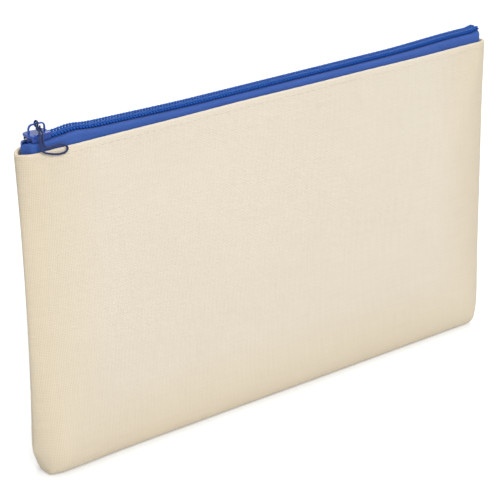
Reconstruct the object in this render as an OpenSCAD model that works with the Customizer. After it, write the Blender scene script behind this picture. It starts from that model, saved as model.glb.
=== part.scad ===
// Flat zipped pencil case: two canvas panels sewn on three sides, and a coil zip in the mouth.
// The case stands on its base: X runs along the zip, the front faces -Y, and Z is up from the floor.

/* [Case] */
// Width of the case between its side seams
case_w = 220; // [190:1:250]
// Height of the canvas, from the floor to the folded top edge
canvas_h = 125; // [105:1:145]
// Thickness of one ply of the canvas
canvas_t = 0.7; // [0.5:0.05:0.8]
// Greatest half thickness of the case, a third of the way up
belly = 9; // [7.5:0.5:11]
// How far each side seam is drawn in at half height
side_bow = 0.3; // [0:0.1:3]
// Radius of the two lower corners
corner_r = 3.5; // [2:0.5:8]
// Width of the canvas folded in at the top edge
hem_w = 8; // [6:0.5:12]

/* [Zip] */
// Distance from one loop of the coil to the next
coil_pitch = 1.25; // [1.15:0.05:1.5]
// Height of the coil above the tape
coil_h = 1.6; // [1.4:0.05:1.8]
// Thickness of the woven tape
tape_t = 0.45; // [0.35:0.05:0.5]
// Depth of tape that is sewn inside the folded edge
tape_sewn = 7; // [5:0.5:9]
// Height of the tape's flat top above the canvas edge
tape_rise = 2.9; // [2.8:0.1:4]

/* [Slider] */
// Length of the slider's body
slider_l = 9; // [8.5:0.1:10]
// Width of the slider at its shoulders
slider_w = 6.6; // [6.5:0.1:6.7]
// Height of the slider's bridge above its top plate
bridge_h = 3.4; // [3:0.1:3.8]
// Diameter of the pull cord
cord_d = 0.75; // [0.6:0.05:0.95]

/* [Hidden] */

// Colours
natural_canvas = [0.91, 0.86, 0.77];
zip_blue = [0.17, 0.34, 0.72];
coil_blue = [0.10, 0.27, 0.62];
slider_blue = [0.09, 0.20, 0.52];

// The canvas panels
half_w = case_w / 2;
seam_gap = 0.3;           // between the two panels, along the seam
seam_y = seam_gap / 2;
foot_h = 16;              // height over which the base rounds up into the wall
foot_power = 3.6;         // squareness of that rounding
foot_flat = 0.4;          // how much of the rounding the floor presses flat
side_reach = 30;          // how far in from a side seam the wall is still curving, at half height
foot_reach = 8;           // the same, at the base
top_reach = 6;            // the same, at the top edge
side_power = 1.7;         // squareness of the side's curve
belly_z = 0.32 * canvas_h;
foot_draw = 0.5;          // how much thinner the case is at its base than at its belly
corner_dip = 1.2;         // how far the top edge drops towards the side seams
hem_z = canvas_h - hem_w;
ply_gap = 0.08;           // between the folded edge and the tape
end_gap = 0.4;            // more of it where the folded edge turns towards a side seam
columns = 44;             // steps across a panel
foot_rows = 8;
wall_rows = 11;

// The zip, from the outside of the coil in to the tape
loop_w = 0.52;            // width of one loop of the coil, along the zip
loop_back = 2.2;          // from the middle of the zip to the back of a loop
loop_head = 0.35;         // how far a loop's head reaches past the middle
loop_straight = 0.45;     // how far back from the middle a loop runs straight before it leans
eye_h = 0.6;              // the opening through a loop, which the filler cord runs in
filler_d = 0.5;
filler_y = 1;             // from the middle of the zip to the filler cord
tape_edge = 0.6;          // from the middle of the zip to the tape's inner edge
tape_edge_open = 1.6;     // the same beyond the last loop, where the slider parts the tapes
tape_end = 2.4;           // from a side seam to the end of the tape
closed_round = 1.9;       // radius at which the tape's top turns down at the closed end
far_round = 2.2;          // the same at the other end
tape_top = canvas_h + tape_rise;
coil_top = tape_top + coil_h;

// The slider, in its place at the closed end of the zip
slider_x = -half_w + 9;
plate_t = 0.9;
rail_t = 0.5;
slider_nose = 0.25;       // share of the slider's length that its rounded nose takes
slider_taper = 0.45;      // how much narrower each side is at the tail than at the shoulders
plate_gap = 0.25;         // between the slider's plates and what runs between them
slider_low = tape_top - tape_t - plate_gap - plate_t;
slider_top = coil_top + plate_gap + plate_t;
first_loop = slider_x - 1.4;
last_loop = half_w - 4.6;
loops = floor((last_loop - first_loop) / coil_pitch);

// The bridge that holds the pull cord
bridge_t = 0.6;
bridge_w = 0.8;
bridge_l = 7;
bridge_round = 1.8;
cord_r = cord_d / 2;
cord_clear = 0.1;         // between the cord's eye and the bridge it goes round
eye_r = norm([bridge_t, bridge_w]) / 2 + cord_clear + cord_r;
swing_z = slider_top + bridge_h - bridge_t / 2;
knot_r = 1.1;

function belly_top() = 2 * canvas_t + 4.15;
function sq(a) = a * a;
function smooth(a) = let (s = min(max(a, 0), 1)) s * s * (3 - 2 * s);

// Half thickness of the case at height z, away from the sides
function swell(z) = z < belly_z
    ? belly - foot_draw * sq((belly_z - z) / belly_z)
    : belly_top() + (belly - belly_top()) * (0.5 + 0.5 * cos(180 * (z - belly_z) / (canvas_h - belly_z)));

// Share of that thickness at a distance d from a side seam: a superellipse that starts square to the seam
function side_share(d, reach) =
    let (r = min(max(d / reach, 0), 1)) pow(1 - pow(1 - r, side_power), 1 / side_power);
function reach_at(z) =
    let (
        h = 2 * z / canvas_h - 1,
        end = h < 0 ? foot_reach : top_reach
    ) side_reach + (end - side_reach) * smooth(abs(h));

// How far the bottom seam climbs round a lower corner
function corner_lift(d) = d < corner_r ? corner_r - sqrt(sq(corner_r) - sq(corner_r - d)) : 0;

// A point of the front panel's outer face, for a place x across and a row [height, share of the thickness]
function face_point(x, row) =
    let (
        d = half_w - abs(x),
        share = side_share(d, reach_at(row[0])),
        lift = corner_lift(d) * pow(1 - row[0] / canvas_h, 6),
        dip = corner_dip * (1 - side_share(d, top_reach)) * smooth(2 * row[0] / canvas_h - 1)
    ) [
        x * (1 - side_bow / half_w * sin(180 * row[0] / canvas_h)),
        -seam_y - (swell(row[0]) - seam_y) * row[1] * share,
        max(0, row[0] - foot_flat * smooth(1 - row[0] / foot_h) + lift) - dip
    ];

// Rows up a panel: [height, share of thickness, inset of the outer face, depth of the inner face]
panel_rows = concat(
    [for (i = [0:foot_rows]) let (a = 90 * i / foot_rows)
        [foot_h * (1 - pow(cos(a), 2 / foot_power)), pow(sin(a), 2 / foot_power), 0, canvas_t]],
    [for (i = [1:wall_rows]) [foot_h + (hem_z - foot_h) * i / wall_rows, 1, 0, canvas_t]],
    [
        [hem_z + 0.1, 1, 0, 2 * canvas_t],
        [canvas_h - canvas_t, 1, 0, 2 * canvas_t],
        [canvas_h - 0.3 * canvas_t, 1, 0.3 * canvas_t, 1.7 * canvas_t],
        [canvas_h, 1, 0.8 * canvas_t, 1.2 * canvas_t]
    ]
);

// Places across the case, closer together towards the sides
function across(reach, n) = [for (i = [0:n]) -reach * cos(180 * i / n)];

// Outward direction of a grid of points; along a seam it lies in the plane of the seam
function clamp_to(i, low, high) = min(max(i, low), high);
function grid_normal(g, i, j) =
    let (
        ni = len(g) - 1,
        nj = len(g[0]) - 1,
        jj = max(j, 1),
        ii = clamp_to(i, 1, ni - 1),
        along = g[min(i + 1, ni)][jj] - g[max(i - 1, 0)][jj],
        up = g[ii][min(j + 1, nj)] - g[ii][max(j - 1, 0)],
        n = cross(along, up),
        on_seam = i == 0 || i == ni || j == 0,
        flat = on_seam ? [n[0], 0, n[2]] : n
    ) flat / norm(flat);

// A closed skin between two grids of points that share their edges' order
module skin(outer, inner) {
    ni = len(outer);
    nj = len(outer[0]);
    function at(side, i, j) = side * ni * nj + i * nj + j;
    points = [for (g = [outer, inner]) for (column = g) for (p = column) p];
    faces = concat(
        [for (i = [0:ni - 2]) for (j = [0:nj - 2]) for (k = [0, 1])
            k == 0
                ? [at(0, i, j), at(0, i, j + 1), at(0, i + 1, j + 1)]
                : [at(0, i, j), at(0, i + 1, j + 1), at(0, i + 1, j)]],
        [for (i = [0:ni - 2]) for (j = [0:nj - 2]) for (k = [0, 1])
            k == 0
                ? [at(1, i, j), at(1, i + 1, j + 1), at(1, i, j + 1)]
                : [at(1, i, j), at(1, i + 1, j), at(1, i + 1, j + 1)]],
        [for (j = [0:nj - 2]) for (k = [0, 1])
            k == 0
                ? [at(0, 0, j), at(1, 0, j), at(1, 0, j + 1)]
                : [at(0, 0, j), at(1, 0, j + 1), at(0, 0, j + 1)]],
        [for (j = [0:nj - 2]) for (k = [0, 1])
            k == 0
                ? [at(0, ni - 1, j), at(0, ni - 1, j + 1), at(1, ni - 1, j + 1)]
                : [at(0, ni - 1, j), at(1, ni - 1, j + 1), at(1, ni - 1, j)]],
        [for (i = [0:ni - 2]) for (k = [0, 1])
            k == 0
                ? [at(0, i, 0), at(0, i + 1, 0), at(1, i + 1, 0)]
                : [at(0, i, 0), at(1, i + 1, 0), at(1, i, 0)]],
        [for (i = [0:ni - 2]) for (k = [0, 1])
            k == 0
                ? [at(0, i, nj - 1), at(1, i, nj - 1), at(1, i + 1, nj - 1)]
                : [at(0, i, nj - 1), at(1, i + 1, nj - 1), at(0, i + 1, nj - 1)]]
    );
    polyhedron(points = points, faces = faces, convexity = 6);
}

// One canvas panel as a wall of even thickness, doubled where its top edge is folded in
module panel() {
    places = across(half_w, columns);
    base = [for (x = places) [for (row = panel_rows) face_point(x, row)]];
    outer = [for (i = [0:columns]) [for (j = [0:len(panel_rows) - 1])
        base[i][j] - grid_normal(base, i, j) * panel_rows[j][2]]];
    inner = [for (i = [0:columns]) [for (j = [0:len(panel_rows) - 1])
        base[i][j] - grid_normal(base, i, j) * panel_rows[j][3]]];
    color(natural_canvas) skin(outer, inner);
}

module front_panel() { panel(); }
module back_panel() { mirror([0, 1, 0]) panel(); }

// Place of the tape's sewn part at x and height z: the inner face of the folded edge, whose skin runs
// straight from one column of the panel to the next
function hem_depth(x, z, depth) =
    let (
        i = clamp_to(floor(acos(-x / half_w) * columns / 180), 0, columns - 1),
        left = -half_w * cos(180 * i / columns),
        right = -half_w * cos(180 * (i + 1) / columns),
        a = face_point(left, [z, 1]),
        b = face_point(right, [z, 1]),
        above = face_point((left + right) / 2, [z + 1, 1]),
        slope = (b[1] - a[1]) / (b[0] - a[0]),
        lean = above[1] - (a[1] + b[1]) / 2,
        pinch = end_gap * smooth(2.2 - (half_w - abs(x)) / tape_end)
    ) a[1] + slope * (x - a[0]) + depth * norm([1, slope, lean]) + pinch;

// How far the tape's top rounds down at its two ends
function end_drop(x) =
    let (
        r = x < 0 ? closed_round : far_round,
        d = half_w - tape_end - abs(x)
    ) d < r ? r - sqrt(sq(r) - sq(r - max(d, 0))) : 0;

// Where the tape's inner edge lies: further back where the slider parts the tapes at the closed end
function edge_at(x) = -tape_edge - (tape_edge_open - tape_edge)
    * smooth((first_loop - 0.35 - x) / 0.6) * smooth((x + half_w - tape_end) / 1.5);

// Rows of the tape's section: [outer y, outer z, inner y, inner z]
function tape_section(x) =
    let (
        low = canvas_h - tape_sewn,
        sewn = canvas_h - 1,
        half = (low + sewn) / 2,
        yl = hem_depth(x, low, 2 * canvas_t + ply_gap),
        yh = hem_depth(x, half, 2 * canvas_t + ply_gap),
        ys = min(hem_depth(x, sewn, 2 * canvas_t + ply_gap), edge_at(x) - 1.05),
        ye = edge_at(x),
        drop = 0.8 * end_drop(x),
        bend = tape_top - 1.2,
        under = tape_top - tape_t - drop
    ) [
        [yl, low, yl + tape_t, low],
        [yh, half, yh + tape_t, half],
        [ys, sewn, ys + tape_t, sewn],
        [ys, bend - drop, ys + tape_t, bend - drop],
        [ys + 0.3, tape_top - 0.4 - drop, ys + tape_t + 0.15, under - 0.3],
        [ys + 0.8, tape_top - drop, ys + tape_t + 0.55, under],
        [ye, tape_top - drop, ye, under]
    ];

module tape() {
    reach = half_w - tape_end;
    fan = across(reach, 50);
    parted = [for (i = [0:3]) first_loop - 0.95 + 0.2 * i];
    before = [for (x = fan) if (x < parted[0] - 0.1) x];
    after = [for (x = fan) if (x > parted[3] + 0.1) x];
    places = concat(before, parted, after);
    outer = [for (x = places) [for (s = tape_section(x)) [x, s[0], s[1]]]];
    inner = [for (x = places) [for (s = tape_section(x)) [x, s[2], s[3]]]];
    color(zip_blue) skin(outer, inner);
}

module zip_tape_front() { tape(); }
module zip_tape_back() { mirror([0, 1, 0]) tape(); }

// One turn of the coil from above: a leg that runs straight at the loop's head and then leans by half a
// pitch to its back, one way under the filler cord (lean -1) and the other way over it (lean 1)
module coil_leg(lean) {
    half = loop_w / 2;
    shift = lean * coil_pitch / 2;
    polygon([
        [-half, loop_head], [half, loop_head], [half, -loop_straight],
        [half + shift, -loop_back], [-half + shift, -loop_back], [-half, -loop_straight]
    ]);
}

// A row of one shape at each loop of the coil, raised and thickened
module coil_row(low, high) {
    translate([first_loop, 0, tape_top + low])
        linear_extrude(high - low)
            for (i = [0:loops - 1]) translate([i * coil_pitch, 0]) children();
}

// The coil is one flattened helix: lower legs, upright heads and backs, and upper legs
module coil() {
    leg_t = (coil_h - eye_h) / 2;
    color(coil_blue) {
        coil_row(0, leg_t) coil_leg(-1);
        coil_row(leg_t, coil_h - leg_t) {
            translate([-loop_w / 2, loop_head - leg_t]) square([loop_w, leg_t]);
            translate([(coil_pitch - loop_w) / 2, -loop_back]) square([loop_w, leg_t]);
        }
        coil_row(coil_h - leg_t, coil_h) coil_leg(1);
    }
}

module zip_coil_front() { coil(); }
module zip_coil_back() { translate([coil_pitch / 2, 0, 0]) mirror([0, 1, 0]) coil(); }

// The cord inside the loops, which the coil is wound round
module filler_cord() {
    color(zip_blue)
        translate([first_loop - coil_pitch, -filler_y, tape_top + coil_h / 2])
            rotate([0, 90, 0])
                cylinder(h = (loops + 1) * coil_pitch, d = filler_d, $fn = 24);
}

module filler_cord_front() { filler_cord(); }
module filler_cord_back() { mirror([0, 1, 0]) filler_cord(); }

// Half width of the slider's plates along its length, nose at -X
function slider_half(x) =
    let (
        s = x / slider_l + 0.5,
        nose = sqrt(max(0, 1 - sq(max(0, 1 - s / slider_nose)))),
        tail = sqrt(max(0, 1 - sq(max(0, (s - 0.94) / 0.06)))),
        waist = slider_w / 2 - slider_taper * smooth((s - 0.3) / 0.5)
    ) waist * (0.45 + 0.55 * nose) * (0.8 + 0.2 * tail);

slider_steps = 24;
slider_xs = [for (i = [0:slider_steps]) slider_l * (-0.5 + 0.5 * (1 - cos(180 * i / slider_steps)))];

module slider_outline(inset) {
    polygon(concat(
        [for (x = slider_xs) [x, slider_half(x) - inset]],
        [for (i = [slider_steps:-1:0]) [slider_xs[i], inset - slider_half(slider_xs[i])]]
    ));
}

// Rails down the plates' edges, with the slot for the tape between them
module slider_rails(low, high) {
    translate([0, 0, low])
        linear_extrude(high - low)
            difference() {
                slider_outline(0);
                slider_outline(rail_t);
                translate([-slider_l / 2 - 1, -slider_w / 2]) square([1.9, slider_w]);
                translate([slider_l / 2 - 0.5, -slider_w / 2]) square([1.5, slider_w]);
            }
}

// An arch with rounded shoulders, standing on the line y = 0
module arch(w, h, r) {
    translate([-w / 2, -r]) square([w, h]);
    translate([r - w / 2, -r]) square([w - 2 * r, h + r]);
    for (side = [-1, 1]) translate([side * (w / 2 - r), h - r]) circle(r = r, $fn = 48);
}

module bridge_outline() {
    difference() {
        arch(bridge_l, bridge_h, bridge_round);
        arch(bridge_l - 2 * bridge_t, bridge_h - bridge_t, bridge_round - bridge_t);
        translate([-bridge_l, -bridge_l]) square([2 * bridge_l, bridge_l - plate_t / 4]);
    }
}

module slider_body() {
    slot_low = tape_top - tape_t - plate_gap;
    slot_high = tape_top + plate_gap;
    nose = [[-4.15, 0], [-3.1, 1.15], [-2.0, 0], [-3.1, -1.15]];
    color(slider_blue)
        translate([slider_x, 0, 0]) {
            translate([0, 0, slider_top - plate_t]) linear_extrude(plate_t) slider_outline(0);
            translate([0, 0, slider_low]) linear_extrude(plate_t) slider_outline(0);
            slider_rails(slot_high, slider_top - plate_t);
            translate([0, 0, slider_low]) linear_extrude(slider_top - slider_low) polygon(nose);
            translate([0, bridge_w / 2, slider_top])
                rotate([90, 0, 0]) linear_extrude(bridge_w) bridge_outline();
        }
}

// The pull cord: an eye round the bridge, a knot, and a loop that drops over the front of the case.
// Its route is given from the middle of the bridge
knot_at = [0, -1.65, -1.3];
loop_route = [
    [0.42, -2.3, -1.7],
    [0.15, -3.6, -2.5],
    [-0.6, -4.9, -4.0],
    [-0.9, -5.8, -5.6],
    [-0.2, -6.1, -6.8],
    [1.7, -5.9, -7.35],
    [4.1, -5.8, -7.2],
    [6.3, -5.9, -7.3],
    [7.75, -6.2, -8.0],
    [8.25, -6.3, -9.1],
    [7.65, -6.3, -10.0],
    [6.4, -6.3, -10.4],
    [3.9, -6.4, -10.2],
    [0.9, -6.5, -9.4],
    [-1.4, -6.6, -8.3],
    [-2.4, -6.4, -6.9],
    [-2.3, -5.9, -5.2],
    [-1.6, -4.7, -3.6],
    [-0.95, -3.5, -2.4],
    [-0.45, -2.3, -1.65]
];

// A point of a smooth curve through a list of points
function spline_at(p, k, t) =
    let (
        n = len(p) - 1,
        a = p[max(k - 1, 0)], b = p[k], c = p[min(k + 1, n)], d = p[min(k + 2, n)]
    ) 0.5 * (2 * b + (c - a) * t + (2 * a - 5 * b + 4 * c - d) * t * t + (3 * b - a - 3 * c + d) * t * t * t);

function cord_line(p, per) = concat(
    [for (k = [0:len(p) - 2]) for (i = [0:per - 1]) spline_at(p, k, i / per)],
    [p[len(p) - 1]]
);

// A tube of n sides carried along a line of points, its ring kept square to the line
module tube(line, r, n) {
    last = len(line) - 1;
    function heading(i) = let (v = line[min(i + 1, last)] - line[max(i - 1, 0)]) v / norm(v);
    function frames(i, side) =
        i > last ? [] :
        let (
            h = heading(i),
            s = side - h * (side * h),
            u = s / norm(s)
        ) concat([[u, cross(h, u)]], frames(i + 1, u));
    rings = frames(0, [0.2, 0.1, 1]);
    points = [for (i = [0:last]) for (k = [0:n - 1])
        line[i] + r * (cos(360 * k / n) * rings[i][0] + sin(360 * k / n) * rings[i][1])];
    faces = concat(
        [[for (k = [0:n - 1]) k]],
        [for (i = [0:last - 1]) for (k = [0:n - 1]) for (half = [0, 1])
            let (a = i * n + k, b = i * n + (k + 1) % n)
            half == 0 ? [a, a + n, b + n] : [a, b + n, b]],
        [[for (k = [n - 1:-1:0]) last * n + k]]
    );
    polyhedron(points = points, faces = faces, convexity = 6);
}

module pull_cord() {
    color(slider_blue)
        translate([slider_x, 0, swing_z]) {
            rotate([0, 90, 0]) rotate_extrude($fn = 12) translate([eye_r, 0]) circle(r = cord_r, $fn = 8);
            translate(knot_at) sphere(r = knot_r, $fn = 12);
            tube(cord_line(loop_route, 3), cord_r, 8);
        }
}

front_panel();
back_panel();
zip_tape_front();
zip_tape_back();
zip_coil_front();
zip_coil_back();
filler_cord_front();
filler_cord_back();
slider_body();
pull_cord();
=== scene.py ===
"""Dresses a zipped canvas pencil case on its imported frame.

Every class below is one sub-assembly or one finish of the case. Sizes are in millimetres in the frame of
the solids (X along the zip, the front faces -Y, Z up) and become metres when a mesh is made.
"""
import logging
import math
from dataclasses import dataclass, field
from enum import Enum
from typing import Optional, Sequence, Union

import bpy
import numpy as np
from mathutils import Matrix, Vector


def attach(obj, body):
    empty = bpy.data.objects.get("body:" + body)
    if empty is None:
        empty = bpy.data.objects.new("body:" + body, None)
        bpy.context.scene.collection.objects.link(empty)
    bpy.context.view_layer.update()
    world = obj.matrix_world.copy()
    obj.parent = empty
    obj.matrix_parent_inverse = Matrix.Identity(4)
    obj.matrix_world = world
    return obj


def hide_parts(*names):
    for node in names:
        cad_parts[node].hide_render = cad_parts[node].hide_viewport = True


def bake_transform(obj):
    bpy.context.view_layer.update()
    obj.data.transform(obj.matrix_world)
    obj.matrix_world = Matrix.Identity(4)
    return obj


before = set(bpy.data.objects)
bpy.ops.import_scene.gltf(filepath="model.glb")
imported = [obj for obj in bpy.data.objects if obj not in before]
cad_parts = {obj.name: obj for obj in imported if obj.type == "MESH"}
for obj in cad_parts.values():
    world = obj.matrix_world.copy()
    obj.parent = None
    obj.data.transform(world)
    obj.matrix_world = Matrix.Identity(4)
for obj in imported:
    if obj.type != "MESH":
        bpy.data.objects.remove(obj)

LOG = logging.getLogger("pencil_case")
METRE = 0.001
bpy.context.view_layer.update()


class Side(Enum):
    """Which half of the case a piece belongs to; the value is the sign of its Y."""

    FRONT = -1.0
    BACK = 1.0


class Span(Enum):
    """Which stretch of the case a piece covers, as the two ends of its X in shares of the half width."""

    WHOLE = (-1.0, 1.0)
    LEFT = (-1.0, 0.0)
    RIGHT = (0.0, 1.0)


# ---------------------------------------------------------------- curves and meshes


def smooth(a: np.ndarray) -> np.ndarray:
    """Smoothstep: three a squared less two a cubed, with a held between 0 and 1."""
    s = np.clip(a, 0.0, 1.0)
    return s * s * (3.0 - 2.0 * s)


def unit(v: np.ndarray) -> np.ndarray:
    """Each vector over its own length."""
    return v / np.maximum(np.linalg.norm(v, axis=-1, keepdims=True), 1e-12)


def run_length(points: np.ndarray, axis: int) -> np.ndarray:
    """Distance run along a grid of points.

    Args:
        points: grid of points, with the coordinates last.
        axis: the grid's axis to run along.

    Returns:
        The running sum of the steps' lengths, which starts at zero.
    """
    steps = np.linalg.norm(np.diff(points, axis=axis), axis=-1)
    pad = [(0, 0)] * steps.ndim
    pad[axis] = (1, 0)
    return np.pad(np.cumsum(steps, axis=axis), pad)


def signed_power(wave: np.ndarray, power: float) -> np.ndarray:
    """A wave raised to a power with its sign kept, which makes a round section squarer."""
    return np.sign(wave) * np.abs(wave) ** power


def tube_grid(path: np.ndarray, radius: Union[float, np.ndarray], sides: int, lean: Sequence[float],
              flat: Union[float, np.ndarray] = 1.0, closed: bool = False) -> np.ndarray:
    """A round or oval section carried along a path.

    The section's first axis is the cross product of the lean with the path's direction, and its second is
    that of the direction with the first. A ring's point k is the path's point plus radius times the cosine
    and sine of 2 pi k / sides along them.

    Args:
        path: points along the middle, (n, 3).
        radius: the radius, the same all along or one for each point.
        sides: points round the section.
        lean: a direction the path never takes.
        flat: the second axis over the first, the same all along or one for each point.
        closed: whether the path ends where it starts.

    Returns:
        Points (n, sides, 3).
    """
    if closed:
        heading = unit(np.roll(path[:-1], -1, 0) - np.roll(path[:-1], 1, 0))
        heading = np.vstack([heading, heading[:1]])
    else:
        heading = unit(np.gradient(path, axis=0))
    across = unit(np.cross(np.asarray(lean, float), heading))[:, None]
    over = np.cross(heading, across[:, 0])[:, None]
    turn = (np.arange(sides) * math.tau / sides)[None, :, None]
    radius, flat = (np.broadcast_to(a, len(path))[:, None, None] for a in (radius, flat))
    return path[:, None] + radius * (np.cos(turn) * across + flat * np.sin(turn) * over)


def spline(points: Sequence[Sequence[float]], per: int) -> np.ndarray:
    """A smooth curve through points: each stretch is a cubic whose ends head along their neighbours.

    Args:
        points: the points that the curve goes through.
        per: steps between one point and the next.

    Returns:
        Points along the curve, (per * (n - 1) + 1, 3).
    """
    p = np.asarray(points, float)
    last = len(p) - 1
    k = np.repeat(np.arange(last), per)
    t = np.tile(np.arange(per) / per, last)[:, None]
    a, b, c, d = p[np.maximum(k - 1, 0)], p[k], p[k + 1], p[np.minimum(k + 2, last)]
    curve = 0.5 * (2 * b + (c - a) * t + (2 * a - 5 * b + 4 * c - d) * t**2 + (3 * b - a - 3 * c + d) * t**3)
    return np.vstack([curve, p[-1:]])


class Fabrication:
    """Collects closed grids of points and makes one Blender mesh of them."""

    def __init__(self, *grids: np.ndarray) -> None:
        """Starts with these grids, or with none."""
        self.points: list[np.ndarray] = []
        self.faces: list[list[int]] = []
        self.marks: list[np.ndarray] = []
        self.count = 0
        for grid in grids:
            self.add_loops(grid)

    def add_loops(self, grid: np.ndarray, uv: Optional[np.ndarray] = None, ends: bool = True) -> None:
        """Adds a tube-like grid whose second axis closes on itself.

        Args:
            grid: points (n, m, 3); row i is a closed ring.
            uv: places on the cloth (n, m + 1, 2), in millimetres, or nothing for lengths along the grid.
            ends: whether the first and last rings are closed with a face.
        """
        n, m = grid.shape[:2]
        if uv is None:
            closed = np.concatenate([grid, grid[:, :1]], axis=1)
            uv = np.stack([run_length(closed, 0), run_length(closed, 1)], axis=-1)
        i, j = (a.ravel() for a in np.meshgrid(np.arange(n - 1), np.arange(m), indexing="ij"))
        k = (j + 1) % m
        quads = np.stack([i * m + j, (i + 1) * m + j, (i + 1) * m + k, i * m + k], axis=1)
        corners = np.stack([uv[i, j], uv[i + 1, j], uv[i + 1, j + 1], uv[i, j + 1]], axis=1)
        a, b, c, d = (grid.reshape(-1, 3)[quads[:, q]] for q in range(4))
        volume = np.einsum("ij,ij->", a, np.cross(b, c) + np.cross(c, d))
        rings = [np.arange(m)[::-1], (n - 1) * m + np.arange(m)] if ends else []
        ring_marks = [uv[0, :m][::-1], uv[-1, :m]] if ends else []
        if volume < 0:
            quads, corners = quads[:, ::-1], corners[:, ::-1]
            rings = [r[::-1] for r in rings]
            ring_marks = [r[::-1] for r in ring_marks]
        self.faces += (quads + self.count).tolist() + [(r + self.count).tolist() for r in rings]
        self.marks += [corners.reshape(-1, 2)] + ring_marks
        self.points.append(grid.reshape(-1, 3))
        self.count += n * m

    def make(self, name: str, finish: "Finish", sharp_deg: float = 50.0) -> bpy.types.Object:
        """Makes the mesh, its cloth map and its object.

        Args:
            name: the piece's name.
            finish: what it is dressed in.
            sharp_deg: edges that turn by more than this stay crisp.

        Returns:
            The new object, at the origin, with its place in its mesh.
        """
        mesh = bpy.data.meshes.new(name)
        mesh.from_pydata((np.concatenate(self.points) * METRE).tolist(), [], self.faces)
        layer = mesh.uv_layers.new(name="Cloth")
        layer.data.foreach_set("uv", (np.concatenate(self.marks) * METRE).astype(np.float32).ravel())
        mesh.polygons.foreach_set("use_smooth", np.ones(len(mesh.polygons), bool))
        mesh.set_sharp_from_angle(angle=math.radians(sharp_deg))
        mesh.validate()
        mesh.materials.append(finish.material())
        piece = bpy.data.objects.new(name, mesh)
        bpy.context.scene.collection.objects.link(piece)
        LOG.info("%s: %d faces", name, len(mesh.polygons))
        return piece


# ---------------------------------------------------------------- finishes


# What a socket takes: another socket, or a constant of its own kind.
Feed = Union[bpy.types.NodeSocket, float, Sequence[float], None]


class Graph:
    """The nodes of a material or the world, with short calls for the ones used here."""

    def __init__(self, name: str, world: bool = False) -> None:
        """Makes the material or world, with the one shader that it starts with.

        Args:
            name: its name.
            world: whether it is a world.
        """
        self.owner = (bpy.data.worlds if world else bpy.data.materials).new(name)
        self.owner.use_nodes = True
        self.tree = self.owner.node_tree
        self.shader = self.tree.nodes["Background" if world else "Principled BSDF"]

    def feed(self, socket: bpy.types.NodeSocket, value: Feed) -> None:
        """Links a socket to another, or sets it to a constant."""
        if isinstance(value, bpy.types.NodeSocket):
            self.tree.links.new(value, socket)
        elif value is not None:
            socket.default_value = value

    def node(self, kind: str, inputs: Optional[dict] = None, **settings: object) -> bpy.types.Node:
        """Adds a node.

        Args:
            kind: Blender's name for it.
            inputs: sockets, by name or number, and what feeds them.
            settings: its own properties.

        Returns:
            The node.
        """
        made = self.tree.nodes.new(kind)
        for key, value in settings.items():
            setattr(made, key, value)
        for key, value in (inputs or {}).items():
            self.feed(made.inputs[key], value)
        return made

    def math(self, operation: str, a: Feed, b: Feed = None, c: Feed = None) -> bpy.types.NodeSocket:
        """One step of arithmetic on sockets or numbers."""
        return self.node("ShaderNodeMath", {0: a, 1: b, 2: c}, operation=operation).outputs[0]

    def cloth(self) -> tuple[bpy.types.NodeSocket, bpy.types.NodeSocket, bpy.types.NodeSocket]:
        """The place on the cloth in metres: the vector and its two numbers."""
        place = self.node("ShaderNodeUVMap", uv_map="Cloth").outputs[0]
        split = self.node("ShaderNodeSeparateXYZ", {0: place})
        return place, split.outputs[0], split.outputs[1]

    def stretched(self, vector: bpy.types.NodeSocket, scale: Sequence[float]) -> bpy.types.NodeSocket:
        """A vector with each of its numbers scaled."""
        return self.node("ShaderNodeMapping", {"Vector": vector, "Scale": scale}).outputs[0]

    def noise(self, vector: bpy.types.NodeSocket, scale: float, detail: float = 2.0,
              seed: float = 0.0) -> bpy.types.NodeSocket:
        """Smooth noise about one half, on a vector; the seed picks another slice of it."""
        feeds = {"Vector": vector, "W": seed, "Scale": scale, "Detail": detail}
        return self.node("ShaderNodeTexNoise", feeds, noise_dimensions="4D").outputs[0]

    def spread(self, value: Feed, low: float, high: float, to_low: float,
               to_high: float) -> bpy.types.NodeSocket:
        """A number's range moved to another range and held there, in an even way."""
        feeds = {"Value": value, 1: low, 2: high, 3: to_low, 4: to_high}
        return self.node("ShaderNodeMapRange", feeds).outputs[0]

    def tint(self, share: Feed, a: Feed, b: Feed, blend: str = "MIX") -> bpy.types.NodeSocket:
        """Two colours mixed by a share."""
        made = self.node("ShaderNodeMix", data_type="RGBA", blend_type=blend)
        colours = [s for s in made.inputs if s.type == "RGBA"]
        self.feed(made.inputs[0], share)
        self.feed(colours[0], a)
        self.feed(colours[1], b)
        return [s for s in made.outputs if s.type == "RGBA"][0]

    def finish(self, colour: Feed, height: Feed, depth: float, strength: float = 1.0,
               roughness: Feed = None, **shader: Feed) -> None:
        """Wires the shader.

        Args:
            colour: colour or socket.
            height: height socket in units of depth, or nothing.
            depth: what a height of one is, in metres.
            strength: how strongly the relief shows.
            roughness: number or socket.
            shader: other sockets of the shader and their constants.
        """
        self.feed(self.shader.inputs["Base Color"], colour)
        self.feed(self.shader.inputs["Roughness"], roughness)
        for key, value in shader.items():
            self.shader.inputs[key.replace("_", " ")].default_value = value
        if height is not None:
            bump = self.node("ShaderNodeBump", {"Strength": strength, "Distance": depth, "Height": height})
            self.feed(self.shader.inputs["Normal"], bump.outputs[0])


class Finish:
    """A finish that builds its material once."""

    _made: dict = {}

    def material(self) -> bpy.types.Material:
        """The finish's material, made at its first use."""
        key = repr(self)
        if key not in Finish._made:
            Finish._made[key] = self.build()
        return Finish._made[key]

    def build(self) -> bpy.types.Material:
        """Makes the material's nodes."""
        raise NotImplementedError


def paint(rgb: Sequence[float]) -> tuple[float, float, float, float]:
    """A colour with full cover."""
    return (*rgb, 1.0)


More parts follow.
